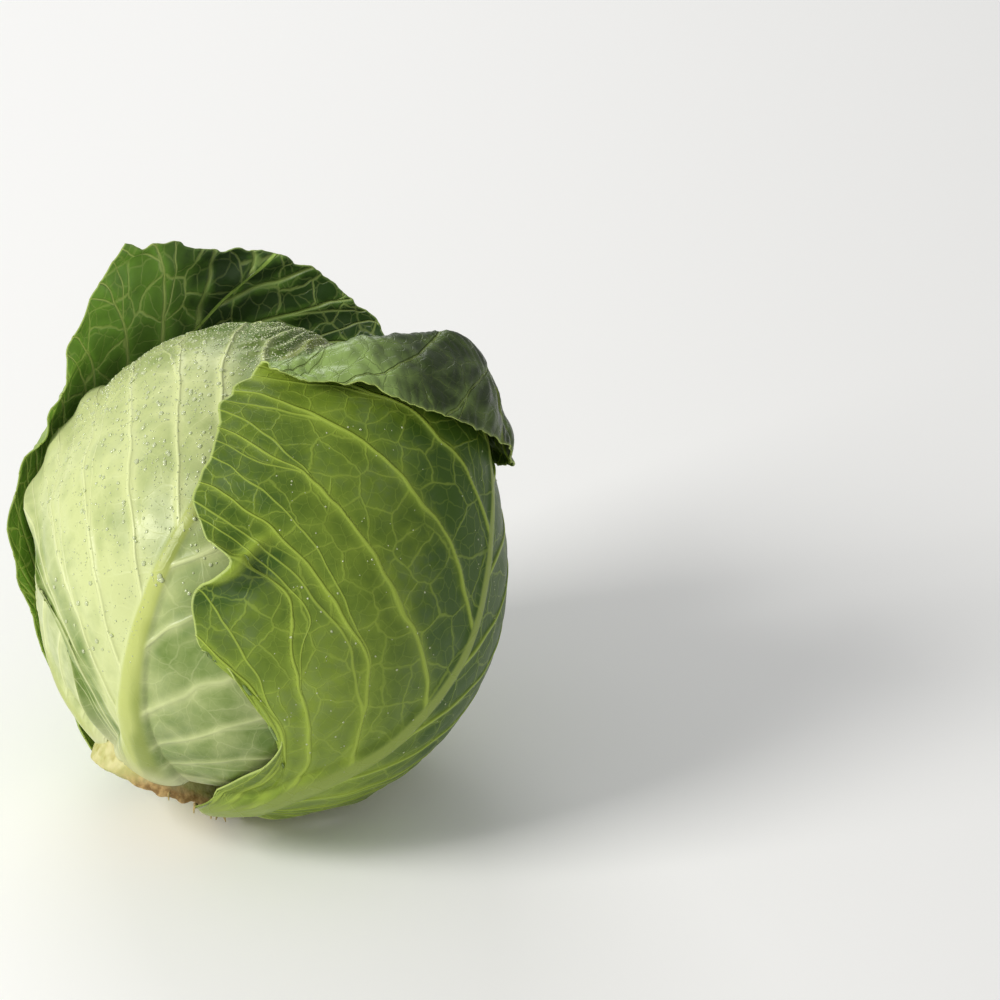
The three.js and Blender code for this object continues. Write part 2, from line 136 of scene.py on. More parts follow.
# Leaves: knots (u, x, y) from base to tip in the head's view from the leaf's centre, as in the solids
LEAVES = {
    "leaf_front": {
        "layer": 2, "centre": (90, -21), "rows": 230, "columns": 200, "veins": 8, "slant": 0.27,
        "faint_right": 0.65, "rib_cover": 1, "waves": 9, "nibble": 0.006,
        "rib": [(0, 0.02, -0.735), (0.2, -0.01, -0.46), (0.4, -0.02, -0.15), (0.6, -0.01, 0.15),
                (0.75, -0.05, 0.4), (0.9, -0.1, 0.66), (1, -0.1, 0.84)],
        "left": [(0, -0.1, -0.72), (0.05, -0.17, -0.55), (0.09, -0.22, -0.41), (0.13, -0.3, -0.31),
                 (0.18, -0.41, -0.26), (0.24, -0.55, -0.17), (0.3, -0.68, -0.06), (0.4, -0.72, 0.12),
                 (0.52, -0.75, 0.33), (0.65, -0.73, 0.52), (0.8, -0.56, 0.7), (0.92, -0.36, 0.8),
                 (1, -0.24, 0.84)],
        "right": [(0, 0.16, -0.73), (0.08, 0.32, -0.64), (0.16, 0.43, -0.5), (0.26, 0.55, -0.33),
                  (0.38, 0.67, -0.1), (0.5, 0.74, 0.14), (0.65, 0.72, 0.4), (0.82, 0.5, 0.66),
                  (1, 0.08, 0.84)],
        "off": lambda x, y, edge: (6 * smooth((y - 0.1) / 0.4) * smooth(-x / 0.35)
                                   + 5 * edge * smooth((-x - 0.5) / 0.2) * smooth((0.4 - y) / 0.2)),
        "ruffle": lambda u, v, edge: 2.5 * edge * smooth((-v - 0.5) / 0.3) * smooth((0.7 - u) / 0.2),
    },
    "leaf_right": {
        "layer": 3, "centre": (90, 57), "rows": 250, "columns": 180, "veins": 9, "slant": 0.25,
        "rib_cover": 1, "waves": 11, "nibble": 0.022,
        "rib": [(0, -0.08, -0.735), (0.15, -0.08, -0.45), (0.3, -0.01, -0.18), (0.45, 0.03, 0.08),
                (0.6, 0.02, 0.36), (0.8, 0, 0.72), (1, -0.02, 1.05)],
        "left": [(0, -0.15, -0.72), (0.05, -0.21, -0.52), (0.08, -0.22, -0.42), (0.11, -0.26, -0.335),
                 (0.15, -0.38, -0.3), (0.19, -0.49, -0.265), (0.23, -0.58, -0.26), (0.27, -0.63, -0.21),
                 (0.3, -0.68, -0.13), (0.335, -0.645, -0.01), (0.37, -0.72, 0.02), (0.41, -0.8, 0.08),
                 (0.48, -0.825, 0.2), (0.58, -0.82, 0.4), (0.7, -0.79, 0.58), (0.82, -0.68, 0.7),
                 (1, -0.56, 0.87)],
        "right": [(0, 0.06, -0.73), (0.08, 0.2, -0.55), (0.18, 0.34, -0.33), (0.3, 0.52, -0.08),
                  (0.42, 0.66, 0.16), (0.55, 0.74, 0.38), (0.7, 0.72, 0.56), (0.85, 0.54, 0.66),
                  (1, 0.36, 0.74)],
        "off": lambda x, y, edge: (
            18 * smooth((y - 0.14) / 0.54) * smooth((x + 0.62) / 0.62) * (1 - 0.95 * smooth((x + 0.12) / 0.4))
            + 2.8 * edge * smooth((-x - 0.3) / 0.3) * smooth((y + 0.35) / 0.2)
            + 5 * edge * smooth(1 - np.hypot((x + 0.66) / 0.12, (y + 0.02) / 0.12))
            + 1.5 * edge * smooth((x - 0.3) / 0.2)),
        "ruffle": lambda u, v, edge: 1.2 * edge * np.where(v > 0, 1.5, 0.7),
        "crease": {"y": 0.68, "radius": 5.6, "turn": 186},
    },
    "leaf_back": {
        "layer": 3, "centre": (95, -130), "rows": 220, "columns": 200, "veins": 9, "slant": 0.3,
        "rib_cover": 1, "waves": 8, "nibble": 0.014,
        "rib": [(0, 0.02, -0.79), (0.25, 0.02, -0.46), (0.5, 0.03, -0.1), (0.75, 0.05, 0.24), (1, 0.03, 0.545)],
        "left": [(0, -0.1, -0.77), (0.12, -0.26, -0.52), (0.25, -0.42, -0.27), (0.4, -0.56, 0),
                 (0.55, -0.64, 0.26), (0.7, -0.62, 0.48), (0.85, -0.46, 0.64), (1, -0.25, 0.66)],
        "right": [(0, 0.1, -0.77), (0.12, 0.14, -0.56), (0.25, 0.21, -0.36), (0.4, 0.31, -0.2),
                  (0.55, 0.36, -0.03), (0.7, 0.35, 0.12), (0.85, 0.32, 0.25), (1, 0.28, 0.37)],
        "off": lambda x, y, edge: (
            HEAD * (0.085 * smooth((x - 0.05) / 0.25) * smooth((y + 0.38) / 0.3)
                    + 1.22 * np.exp(3 * x) * np.maximum(y, 0) ** 2)
            + 4 * edge * smooth((-x - 0.3) / 0.2)),
        "ruffle": lambda u, v, edge: 1.8 * edge * smooth((u - 0.2) / 0.3),
    },
    "leaf_left": {
        "layer": 1, "centre": (90, -86), "rows": 110, "columns": 80, "veins": 8, "rib_cover": 0.35,
        "rib": [(0, 0.02, -0.73), (0.5, 0, -0.05), (1, 0.02, 0.6)],
        "left": [(0, -0.1, -0.72), (0.2, -0.36, -0.5), (0.45, -0.58, -0.05), (0.7, -0.56, 0.32), (1, -0.2, 0.6)],
        "right": [(0, 0.12, -0.72), (0.2, 0.42, -0.48), (0.45, 0.58, -0.05), (0.7, 0.56, 0.32), (1, 0.2, 0.6)],
    },
    "leaf_rear": {
        "layer": 2, "centre": (90, 163), "rows": 140, "columns": 110, "veins": 8, "rib_cover": 0.8,
        "rib": [(0, 0.02, -0.735), (0.5, -0.01, -0.05), (1, 0.02, 0.6)],
        "left": [(0, -0.12, -0.72), (0.1, -0.32, -0.6), (0.22, -0.38, -0.42), (0.4, -0.5, -0.12),
                 (0.6, -0.52, 0.2), (0.8, -0.42, 0.46), (1, -0.18, 0.6)],
        "right": [(0, 0.12, -0.72), (0.2, 0.4, -0.46), (0.45, 0.56, -0.03), (0.7, 0.54, 0.34), (1, 0.2, 0.62)],
    },
    "leaf_far_right": {
        "layer": 1, "centre": (90, 98), "rows": 110, "columns": 80, "veins": 8, "rib_cover": 0.35,
        "rib": [(0, 0, -0.73), (0.5, 0.02, -0.05), (1, 0, 0.6)],
        "left": [(0, -0.12, -0.72), (0.2, -0.42, -0.48), (0.45, -0.58, -0.05), (0.7, -0.56, 0.32), (1, -0.2, 0.6)],
        "right": [(0, 0.12, -0.72), (0.2, 0.38, -0.48), (0.45, 0.56, -0.05), (0.7, 0.54, 0.32), (1, 0.2, 0.6)],
    },
}


def roll_over(crease, x, y):
    """Rolls the sheet outwards over its crease and back down over its own outer face."""
    scale = 2 * HEAD / (1 + x * x + crease["y"] ** 2)
    beyond = np.maximum(y - crease["y"], 0) * scale
    radius = crease["radius"] * (0.25 + 0.75 * smooth((x + 0.7) / 0.35)) * (1 - 0.5 * smooth(x / 0.4))
    turned = np.minimum(beyond / radius, math.radians(crease["turn"]))
    straight = beyond - turned * radius
    forward = radius * np.sin(turned) + straight * np.cos(turned)
    height = radius * (1 - np.cos(turned)) + straight * np.sin(turned)
    return np.where(beyond > 0, crease["y"] + forward / scale, y), height


def leaf_plane(leaf, u, v):
    """Flat place x, y on the leaf at u along it and v across it."""
    rib_x, rib_y = along(leaf["rib"], u)
    left, right = along(leaf["left"], u), along(leaf["right"], u)
    edge_x, edge_y = (np.where(v < 0, left[k], right[k]) for k in (0, 1))
    s = np.abs(v)
    nibbled = 1 + leaf.get("nibble", 0) * margin_noise(u, v, leaf) * s**10
    x = rib_x + (edge_x - rib_x) * (0.9 * s + 0.1 * s * s) * nibbled
    square = smooth((u - 0.8) / 0.2) if "crease" in leaf else 0.0
    share = (1.24 * s - 0.24 * s * s) * (1 - square) + s**3 * square
    top_bite = 0.3 * leaf.get("nibble", 0) * margin_noise(0.5 * v, u, leaf) * smooth((u - 0.9) / 0.1)
    y = rib_y + (edge_y - rib_y) * share + top_bite
    return x, y


def leaf_point(leaf, u, v):
    """Middle of the blade at u along the leaf and v across it, in millimetres."""
    s = np.abs(v)
    x, y = leaf_plane(leaf, u, v)
    off = 0.0
    if "crease" in leaf:
        y, off = roll_over(leaf["crease"], x, y)
    if "off" in leaf:
        edge = np.maximum(s**5, smooth((u - 0.8) / 0.2))
        wave = 0.5 + 0.5 * np.sin(2 * np.pi * leaf["waves"] * (u + 0.25 * v))
        off = off + leaf["off"](x, y, edge) + leaf["ruffle"](u, v, edge) * wave
    theta, lam = leaf["centre"]
    out, up = head_direction(theta, lam), head_direction(theta + 90, lam)
    across = np.array([math.cos(math.radians(lam)), math.sin(math.radians(lam)), 0])
    direction = (2 * x)[:, None] * across + (2 * y)[:, None] * up + (1 - x * x - y * y)[:, None] * out
    direction /= length(direction)[:, None]
    radius = LAYER_RADIUS[leaf["layer"]] * head_shape(direction) + off
    point = to_part(direction * radius[:, None])
    if leaf["layer"] < 3:
        point[:, 2] = np.maximum(point[:, 2], REST_HEIGHT[leaf["layer"]])
    return point


def margin_noise(along_edge, across_edge, leaf):
    """Uneven bites along a margin, as a share of the leaf's half width."""
    seed = leaf["centre"][1] % 97
    line = np.stack([along_edge * 100, np.sign(across_edge) * 7.0, np.zeros_like(along_edge)], axis=-1)
    return value_noise(line, 4.0, seed) + 0.6 * value_noise(line, 1.6, seed + 1)


def steps_on_leaf(leaf, u, v):
    """Outward normal, and the two steps in millimetres to a unit of u and of v."""
    step = 0.004
    u0, u1 = np.maximum(u - step, 0), np.minimum(u + step, 1)
    v0, v1 = np.maximum(v - step, -1), np.minimum(v + step, 1)
    du = (leaf_point(leaf, u1, v) - leaf_point(leaf, u0, v)) / (u1 - u0)[:, None]
    dv = (leaf_point(leaf, u, v1) - leaf_point(leaf, u, v0)) / (v1 - v0)[:, None]
    normal = np.cross(dv, du)
    return normal / np.maximum(length(normal), 1e-9)[:, None], du, dv


def ridge(distance, half_width):
    return np.maximum(0, 1 - (distance / half_width) ** 2) ** 1.5


def veins_of(leaf, u, v, point, du, dv):
    """Where the ribs and veins of a leaf run: their positions for the material and their relief."""
    s = np.abs(v)
    seed = leaf["centre"][1] % 89
    count = leaf["veins"]
    warp = (0.16 * value_noise(point, 38, seed) + 0.08 * value_noise(point, 13, seed + 1)
            + 0.03 * value_noise(point, 6, seed + 2))
    slant = leaf.get("slant", 0.35)  # share of the leaf's length that a side vein climbs to the margin
    climb = slant * (1 - (1 - s) ** 1.5)
    phase = count * (u - climb) + np.where(v > 0, 0.45, 0) + warp * smooth(s / 0.15) + 8
    phase_v = -count * slant * 1.5 * (1 - s) ** 0.5 * np.sign(v)
    uu, uv, vv = (du * du).sum(1), (du * dv).sum(1), (dv * dv).sum(1)
    steepness = (vv * count**2 - 2 * uv * count * phase_v + uu * phase_v**2) / np.maximum(uu * vv - uv**2, 1e-6)
    spacing = np.clip(1 / np.sqrt(np.maximum(steepness, 1e-6)), 2, 40)
    number = np.floor(phase).astype(int) % 64 + np.where(v > 0, 64, 0)
    starts = np.random.default_rng(seed).uniform(0.15, 1.15, (2, 128))
    share = phase - np.floor(phase)

    def fork(start):
        t = np.clip((s - start) / 0.45, 0, 1)
        return t * (1.8 - 0.8 * t)

    fork_up = 0.42 * fork(starts[0][number])
    fork_down = 1 - 0.36 * fork(starts[1][number])
    thin = np.exp(-RIB_FADE * u)
    half = RIB_TIP["half_width"] + (RIB_BASE["half_width"] - RIB_TIP["half_width"]) * thin
    from_rib = length(point - leaf_point(leaf, u, np.zeros_like(u)))
    cover = smooth((leaf["rib_cover"] - u) / 0.2)
    rib_height = (RIB_TIP["height"] + (RIB_BASE["height"] - RIB_TIP["height"]) * thin) * cover
    midrib = 1.15 * rib_height * np.maximum(0, 1 - (from_rib / half) ** 2) ** 0.55
    faint = 1 - (1 - leaf.get("faint_right", 0) * smooth(v / 0.2)) * smooth((spacing - 2.5) / 3.5)
    on_blade = smooth((u - 0.03) / 0.1) * (1 - 0.6 * s) * (1 - faint) * smooth((from_rib / half - 0.75) / 0.35)
    main = 0.75 * on_blade * ridge(np.minimum(share, 1 - share) * spacing, 1.9 - 0.9 * s)
    forks = 0.35 * on_blade * np.maximum(ridge((share - fork_up) * spacing, 1.2 - 0.4 * s),
                                         ridge((share - fork_down) * spacing, 1.2 - 0.4 * s))
    relief = midrib + np.maximum(main, forks)
    return {"phase": phase, "s": s, "spacing": spacing, "fork_up": fork_up, "fork_down": fork_down,
            "from_rib": from_rib, "half": half, "relief": relief, "faint": faint}


def select_only(obj):
    bpy.ops.object.select_all(action="DESELECT")
    obj.select_set(True)
    bpy.context.view_layer.objects.active = obj


def write_points(obj, points_mm):
    obj.data.vertices.foreach_set("co", (points_mm * MM).ravel())
    obj.data.update()


def read_points(obj):
    flat = np.empty(len(obj.data.vertices) * 3)
    obj.data.vertices.foreach_get("co", flat)
    return flat.reshape(-1, 3)


def put_attribute(obj, name, *columns):
    attribute = obj.data.attributes.new(name, "FLOAT_VECTOR", "POINT")
    attribute.data.foreach_set("vector", np.stack(columns, axis=-1).ravel())


def grid(name, rows, columns):
    """A flat grid, with the share of its rows and columns at each vertex, from 0 to 1."""
    bpy.ops.object.select_all(action="DESELECT")
    bpy.ops.mesh.primitive_grid_add(x_subdivisions=columns, y_subdivisions=rows, size=1)
    obj = bpy.context.object
    obj.name = name
    flat = read_points(obj)
    return obj, flat[:, 1] + 0.5, flat[:, 0] + 0.5


def apply_modifier(obj, kind, **settings):
    select_only(obj)
    bpy.ops.object.modifier_add(type=kind)
    modifier = obj.modifiers[-1]
    for key, value in settings.items():
        setattr(modifier, key, value)
    bpy.ops.object.modifier_apply(modifier=modifier.name)


def fold_of_right_leaf(u, v):
    """Small fold that runs in from the notch of the right leaf: its crest, and the dent below it, from 0 to 1."""
    x, y = leaf_plane(LEAVES["leaf_right"], u, v)
    turn = math.radians(50)
    onward = (x + 0.7) * math.cos(turn) + (y + 0.09) * math.sin(turn)
    above = (y + 0.09) * math.cos(turn) - (x + 0.7) * math.sin(turn) + 0.02 * np.sin(22 * onward)
    reach = smooth((onward + 0.06) / 0.06) * smooth((0.3 - onward) / 0.16)
    return reach * np.exp(-((above / 0.018) ** 2)), reach * np.exp(-(((above + 0.055) / 0.026) ** 2))


def pucker(leaf_name, u, v, point, veins):
    """Low swellings between the veins, pleats at the tips and wrinkles, in millimetres outwards."""
    s = np.abs(v)
    between = np.sin(np.pi * (veins["phase"] % 1)) ** 2 * smooth(s / 0.2)
    amount = {"leaf_front": 0.55, "leaf_right": 0.6, "leaf_back": 1.1}.get(leaf_name, 0.3)
    shape = amount * between * (0.6 + 0.5 * value_noise(point, 22, 5)) + 0.5 * amount * value_noise(point, 9, 6)
    if leaf_name == "leaf_front":
        pleats = np.sin(2 * np.pi * (5 * v + 1.1 * value_noise(point, 24, 7)))
        crown = smooth((u - 0.7) / 0.2)
        shape += 1.1 * pleats * crown * (0.7 + 0.6 * value_noise(point, 12, 17))
        shape += 0.7 * value_noise(point, 5, 18) * crown + 0.6 * value_noise(point, 14, 19)
    if leaf_name == "leaf_right":
        fan = np.sin(2 * np.pi * (21 * v + 2.2 * value_noise(point, 22, 8)))
        fan_height = 0.22 * smooth((u - 0.76) / 0.08) * (1 + value_noise(point, 9, 20))
        shape += fan_height * fan + 1.3 * value_noise(point, 12, 9) * smooth((u - 0.7) / 0.1)
        shape += 0.9 * value_noise(point, 4.5, 10) * smooth((u - 0.78) / 0.06) * smooth((-v - 0.2) / 0.3)
        crest, dent = fold_of_right_leaf(u, v)
        shape += 2.5 * crest - 0.6 * dent
    if leaf_name == "leaf_back":
        shape += (2.2 * value_noise(point, 20, 13) + 1.0 * value_noise(point, 7, 14)) * smooth((s - 0.7) / 0.3)
    return shape


def tone_of(leaf_name, u, v, point):
    """How green the outer face is, from 0 at its palest to 1, with painted shade and a painted highlight laid into it
    on the front, right and back leaves.
    """
    s = np.abs(v)
    cloud = 0.12 * value_noise(point, 30, 11) + 0.08 * value_noise(point, 11, 12)
    if leaf_name == "leaf_front":
        # painted shade: the right side of the midrib and the blade right of it, where the right leaf's shadow falls
        right = 0.6 * smooth((v + 0.05) / 0.15) * (1 - 0.3 * smooth((u - 0.3) / 0.3))
        low = 0.85 * smooth((0.36 - u) / 0.2) * smooth((-v - 0.2) / 0.2)
        patches = 0.22 * value_noise(point, 17, 15) + 0.12 * value_noise(point, 6, 16)
        return 0.04 + 0.3 * smooth((u - 0.45) / 0.2) + 0.75 * smooth((u - 0.66) / 0.2) + right + low + cloud + patches
    if leaf_name == "leaf_right":
        # painted shade: darker to the right, away from the light, and near the base
        shade = 0.95 * smooth((point[:, 0] - 15) / 75) + 0.3 * smooth((0.2 - u) / 0.15)
        if_wilted = smooth((u - 0.72) / 0.05)
        # the flap's tone, paler at its left end as a painted wet sheen
        flap_tone_painted_sheen = 0.85 * smooth((v + 0.75) / 0.4) + cloud
        green = 0.3 + 0.4 * smooth((s - 0.25) / 0.6) * smooth((u - 0.1) / 0.25) * (v < 0) + shade + cloud
        crest, dent = fold_of_right_leaf(u, v)
        # painted highlight along the fold's crest and painted shade in the dent below it
        return green * (1 - if_wilted) + flap_tone_painted_sheen * if_wilted - 0.9 * crest + 0.6 * dent
    if leaf_name == "leaf_back":
        # painted shade: the inner face darker to the right, where it lies in the hollow over the crown
        return 0.1 + 0.9 * smooth((point[:, 0] + 40) / 26) + cloud
    return 0.2 + 0.35 * smooth((u - 0.35) / 0.5) + cloud


def leaf_surface(name, u, v):
    """Finished outer face of a leaf: its points, normals and what its material needs."""
    leaf = LEAVES[name]
    point = leaf_point(leaf, u, v)
    normal, du, dv = steps_on_leaf(leaf, u, v)
    veins = veins_of(leaf, u, v, point, du, dv)
    veins["margin"] = np.minimum((1 - np.abs(v)) * length(dv), (1 - u) * length(du))
    height = veins["relief"] + pucker(name, u, v, point, veins) * smooth(u / 0.08)
    surface = point + normal * (THIN_BLADE / 2 + height)[:, None]
    surface[:, 2] = np.maximum(surface[:, 2], 0.0 if leaf["layer"] == 2 else REST_HEIGHT[1] - BLADE / 2)
    return surface, normal, veins


def build_leaf(name, outer, inner):
    leaf = LEAVES[name]
    obj, u, across = grid("dressed_" + name, leaf["rows"], leaf["columns"])
    t = 2 * across - 1
    v = np.sign(t) * np.abs(t) ** CROWD_TO_RIB
    surface, _, veins = leaf_surface(name, u, v)
    write_points(obj, surface)
    x, y = leaf_plane(leaf, u, v)
    put_attribute(obj, "vein", veins["phase"], veins["s"], veins["spacing"])
    put_attribute(obj, "fork", veins["fork_up"], veins["fork_down"], veins["margin"])
    put_attribute(obj, "flat", x * FLAT_SCALE, y * FLAT_SCALE, veins["faint"])
    # the tone, with its painted shade and highlight, rides in the third column of the rib attribute
    put_attribute(obj, "rib", veins["from_rib"], veins["half"], tone_of(name, u, v, surface))
    obj.data.materials.append(outer)
    obj.data.materials.append(inner)
    select_only(obj)
    bpy.ops.object.shade_smooth()
    apply_modifier(obj, "SOLIDIFY", thickness=THIN_BLADE * MM, offset=-1, material_offset=1,
                   material_offset_rim=0)
    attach(obj, "root")
    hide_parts(name)
    return obj


def linear(hex_colour):
    """sRGB hex to the linear colour that a socket takes."""
    values = [int(hex_colour[i:i + 2], 16) / 255 for i in (1, 3, 5)]
    return [*(c / 12.92 if c <= 0.04045 else ((c + 0.055) / 1.055) ** 2.4 for c in values), 1.0]


def add(tree, kind, inputs=None, **settings):
    """Adds a node; an input given as a socket is linked, any other value is set."""
    made = tree.nodes.new(kind)
    for key, value in settings.items():
        setattr(made, key, value)
    for key, value in (inputs or {}).items():
        if isinstance(value, bpy.types.NodeSocket):
            tree.links.new(value, made.inputs[key])
        else:
            made.inputs[key].default_value = value
    return made


def maths(tree, operation, a, b=0.0):
    return add(tree, "ShaderNodeMath", {0: a, 1: b}, operation=operation).outputs[0]


def mix(tree, share, a, b):
    """Colour a where share is 0 and b where it is 1."""
    made = add(tree, "ShaderNodeMix", {0: share, 6: a, 7: b}, data_type="RGBA")
    return made.outputs[2]


def fade(tree, value, at_zero, at_one):
    """Smoothly 0 where value is at_zero, and 1 where it is at_one."""
    made = add(tree, "ShaderNodeMapRange", {0: value, 1: at_zero, 2: at_one}, interpolation_type="SMOOTHSTEP")
    return made.outputs[0]


def start_material(name):
    material = bpy.data.materials.new(name)
    material.use_nodes = True
    tree = material.node_tree
    return material, tree, tree.nodes["Principled BSDF"]


def vein_net(tree, place, cell, half_width):
    """Net with meshes about cell millimetres wide: its lines, and how far in a mesh each place lies."""
    net = add(tree, "ShaderNodeTexVoronoi", {"Vector": place, "Scale": 1 / cell}, feature="DISTANCE_TO_EDGE",
              voronoi_dimensions="2D")
    inside = net.outputs["Distance"]
    return fade(tree, inside, half_width / cell, 0.2 * half_width / cell), inside


def leaf_material(name, look):
    """Waxy cabbage leaf: the blade's green, its pale ribs and veins, and the grey bloom of its wax."""
    material, tree, surface = start_material(name)

    def attribute(title):
        return add(tree, "ShaderNodeAttribute", attribute_name=title).outputs["Vector"]

    phase, s, spacing = add(tree, "ShaderNodeSeparateXYZ", {0: attribute("vein")}).outputs
    fork_up, fork_down, margin = add(tree, "ShaderNodeSeparateXYZ", {0: attribute("fork")}).outputs
    from_rib, half, tone = add(tree, "ShaderNodeSeparateXYZ", {0: attribute("rib")}).outputs
    share = maths(tree, "FRACT", phase)
    wide = look["vein_width"]

    def gap_to(position):
        return maths(tree, "MULTIPLY", maths(tree, "ABSOLUTE", maths(tree, "SUBTRACT", share, position)), spacing)

    def line(gap, at_rib, at_margin, softness=0.2):
        """A vein whose half width in millimetres shrinks from the rib to the margin."""
        width = maths(tree, "MULTIPLY_ADD", s, (at_margin - at_rib) * wide)
        width.node.inputs[2].default_value = at_rib * wide
        return fade(tree, maths(tree, "DIVIDE", gap, width), 1.0, softness)

    main_gap = maths(tree, "MINIMUM", gap_to(0.0), gap_to(1.0))
    main = line(main_gap, 1.25, 0.5)
    forked = maths(tree, "MAXIMUM", line(gap_to(fork_up), 0.85, 0.42), line(gap_to(fork_down), 0.85, 0.42))
    glow = maths(tree, "MULTIPLY", line(main_gap, 4.5, 2.0, 0.0), 0.35)
    midrib = fade(tree, maths(tree, "DIVIDE", from_rib, half), look["rib_edge"], 0.55 * look["rib_edge"])

    place = add(tree, "ShaderNodeTexCoord").outputs["Object"]
    flat = attribute("flat")
    faint = add(tree, "ShaderNodeSeparateXYZ", {0: flat}).outputs[2]
    clear = maths(tree, "MULTIPLY", maths(tree, "SUBTRACT", 1.0, faint), maths(tree, "SUBTRACT", 1.0, midrib))
    main = maths(tree, "MULTIPLY", main, clear)
    forked = maths(tree, "MULTIPLY", forked, clear)
    bent = add(tree, "ShaderNodeTexNoise", {"Vector": flat, "Scale": 1 / 9, "Detail": 3.0})
    shift = add(tree, "ShaderNodeVectorMath", {0: bent.outputs["Color"], 1: (6.0,) * 3}, operation="MULTIPLY")
    wavy = add(tree, "ShaderNodeVectorMath", {0: flat, 1: shift.outputs[0]}, operation="ADD").outputs[0]
    net, in_mesh = vein_net(tree, wavy, look["mesh"], 0.42 * wide)
    fine, _ = vein_net(tree, wavy, 4.6, 0.3)
    uneven = add(tree, "ShaderNodeTexNoise", {"Vector": flat, "Scale": 1 / 16})
    net = maths(tree, "MULTIPLY", net, maths(tree, "MULTIPLY", fade(tree, uneven.outputs[0], 0.15, 0.55), look["net"]))
    fine = maths(tree, "MULTIPLY", fine, look["net"] * 0.38)
    lines = maths(tree, "MAXIMUM", maths(tree, "MAXIMUM", main, maths(tree, "MULTIPLY", forked, 0.85)),
                  maths(tree, "MAXIMUM", net, fine))
    dimmed = maths(tree, "SUBTRACT", 1.0, maths(tree, "MULTIPLY", fade(tree, tone, 0.3, 1.0), look["dim"]))
    lines = maths(tree, "MULTIPLY", lines, dimmed)

    mottle = add(tree, "ShaderNodeTexNoise", {"Vector": place, "Scale": 1 / (5 * MM), "Detail": 6.0,
                                              "Roughness": 0.6}).outputs[0]
    cloud = add(tree, "ShaderNodeTexNoise", {"Vector": place, "Scale": 1 / (28 * MM), "Detail": 3.0}).outputs[0]
    speckle = maths(tree, "MULTIPLY_ADD", mottle, 0.5)
    speckle.node.inputs[2].default_value = -0.25
    deep = maths(tree, "MULTIPLY", fade(tree, in_mesh, 0.03, 0.3), look["deep"])
    # the tone brings its painted shade and highlight into the blade's green here
    green = maths(tree, "ADD", maths(tree, "ADD", tone, speckle), maths(tree, "SUBTRACT", deep, glow))
    green.node.use_clamp = True
    blade = mix(tree, green, linear(look["pale"]), linear(look["green"]))
    wax = maths(tree, "MULTIPLY", maths(tree, "MULTIPLY", fade(tree, cloud, 0.4, 0.7), fade(tree, mottle, 0.3, 0.7)),
                look["bloom"])
    waxed = mix(tree, wax, blade, linear("#D9E2CB"))
    veined = mix(tree, maths(tree, "MULTIPLY", lines, look["vein_strength"]), waxed, linear(look["vein"]))
    # painted shade: the midrib turns to rib_shade where the tone is dark, on its right side
    rib = mix(tree, fade(tree, tone, 0.1, 0.6), linear(look["rib"]), linear(look.get("rib_shade", look["rib"])))
    ribbed = mix(tree, maths(tree, "MULTIPLY", midrib, 0.9), veined, rib)
    at_base = maths(tree, "MULTIPLY", fade(tree, half, 11.0, 14.8), 0.75)
    ribbed = mix(tree, at_base, ribbed, linear(look.get("base", look["rib"])))
    edged = mix(tree, maths(tree, "MULTIPLY", fade(tree, margin, 1.2, 0.3), look["edge"]), ribbed, linear(look["rim"]))
    tree.links.new(edged, surface.inputs["Base Color"])

    rough = maths(tree, "MULTIPLY_ADD", mottle, 0.35)
    rough.node.inputs[2].default_value = look["roughness"] - 0.17
    tree.links.new(rough, surface.inputs["Roughness"])
    veins_up = maths(tree, "MAXIMUM", maths(tree, "MAXIMUM", main, maths(tree, "MULTIPLY", forked, 0.6)),
                     maths(tree, "MULTIPLY", maths(tree, "MAXIMUM", net, fine), 0.6))
    raised = maths(tree, "MULTIPLY_ADD", mottle, 0.22)
    tree.links.new(veins_up, raised.node.inputs[2])
    low = add(tree, "ShaderNodeBump", {"Height": raised, "Distance": abs(look["bump"]) * MM, "Strength": 1.0},
              invert=look["bump"] < 0)
    tree.links.new(low.outputs[0], surface.inputs["Normal"])
    surface.inputs["IOR"].default_value = 1.42
    surface.inputs["Specular IOR Level"].default_value = look["gloss"]
    return material


